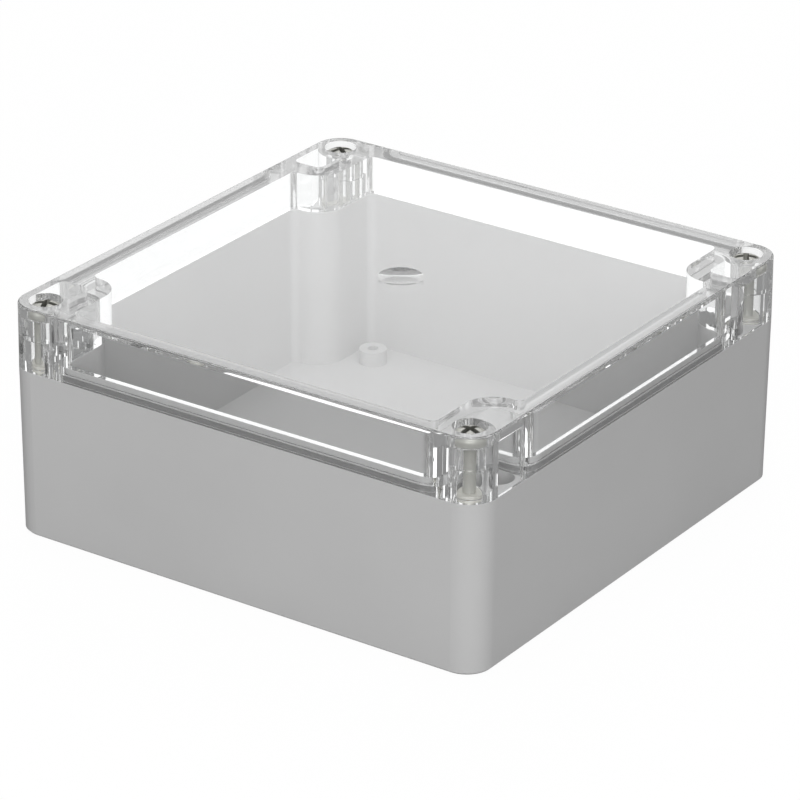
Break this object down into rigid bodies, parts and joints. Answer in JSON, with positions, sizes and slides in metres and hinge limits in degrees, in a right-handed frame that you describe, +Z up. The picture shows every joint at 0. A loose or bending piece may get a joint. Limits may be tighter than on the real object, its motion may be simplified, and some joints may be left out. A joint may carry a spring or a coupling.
{
  "type": "polycarbonate enclosure",
  "caption": "Square sealed plastic enclosure with a solid base, a clear lift-off lid, captive corner screws and mounting holes outside the seal.",
  "frame": {"origin": "centre of the underside of the base, which is the bottom centre of the bounding box", "axes": "+X to the right, +Y to the back, +Z up through the lid; the long sides of the corner bays run along Y"},
  "size_m": [0.14, 0.14, 0.062],
  "materials": {
    "base": "fine satin moulding",
    "lid": "clear polished moulding",
    "gasket": "matt extruded cord",
    "screw": "bright stainless",
    "washer": "natural nylon",
    "insert": "turned, knurled barrels"
  },
  "bodies": {
    "base": {"base": "base", "gasket": "gasket", "insert_front_left": "insert", "insert_front_right": "insert", "insert_back_left": "insert", "insert_back_right": "insert"},
    "lid": {"lid": "lid"},
    "washer_front_left": {"washer_front_left": "washer"},
    "washer_front_right": {"washer_front_right": "washer"},
    "washer_back_left": {"washer_back_left": "washer"},
    "washer_back_right": {"washer_back_right": "washer"},
    "screw_front_left": {"screw_front_left": "screw"},
    "screw_front_right": {"screw_front_right": "screw"},
    "screw_back_left": {"screw_back_left": "screw"},
    "screw_back_right": {"screw_back_right": "screw"}
  },
  "joints": [
    {"name": "lid_lift", "type": "slide", "parent": "base", "child": "lid", "axis": [0, 0, 1], "range_m": [0, 0.06]},
    {"name": "screw_rise_front_left", "type": "slide", "parent": "lid", "child": "washer_front_left", "axis": [0, 0, 1], "range_m": [0, 0.0056]},
    {"name": "screw_turn_front_left", "type": "hinge", "parent": "washer_front_left", "child": "screw_front_left", "pos_m": [-0.0628, -0.0628, 0.045], "axis": [0, 0, 1], "range_deg": [0, 2881]},
    {"name": "screw_rise_front_right", "type": "slide", "parent": "lid", "child": "washer_front_right", "axis": [0, 0, 1], "range_m": [0, 0.0056]},
    {"name": "screw_turn_front_right", "type": "hinge", "parent": "washer_front_right", "child": "screw_front_right", "pos_m": [0.0628, -0.0628, 0.045], "axis": [0, 0, 1], "range_deg": [0, 2881]},
    {"name": "screw_rise_back_left", "type": "slide", "parent": "lid", "child": "washer_back_left", "axis": [0, 0, 1], "range_m": [0, 0.0056]},
    {"name": "screw_turn_back_left", "type": "hinge", "parent": "washer_back_left", "child": "screw_back_left", "pos_m": [-0.0628, 0.0628, 0.045], "axis": [0, 0, 1], "range_deg": [0, 2881]},
    {"name": "screw_rise_back_right", "type": "slide", "parent": "lid", "child": "washer_back_right", "axis": [0, 0, 1], "range_m": [0, 0.0056]},
    {"name": "screw_turn_back_right", "type": "hinge", "parent": "washer_back_right", "child": "screw_back_right", "pos_m": [0.0628, 0.0628, 0.045], "axis": [0, 0, 1], "range_deg": [0, 2881]}
  ],
  "couplings": [
    {"joint": "screw_turn_front_left", "follows": "screw_rise_front_left", "rad_per_m": 8976},
    {"joint": "screw_turn_front_right", "follows": "screw_rise_front_right", "rad_per_m": 8976},
    {"joint": "screw_turn_back_left", "follows": "screw_rise_back_left", "rad_per_m": 8976},
    {"joint": "screw_turn_back_right", "follows": "screw_rise_back_right", "rad_per_m": 8976}
  ]
}
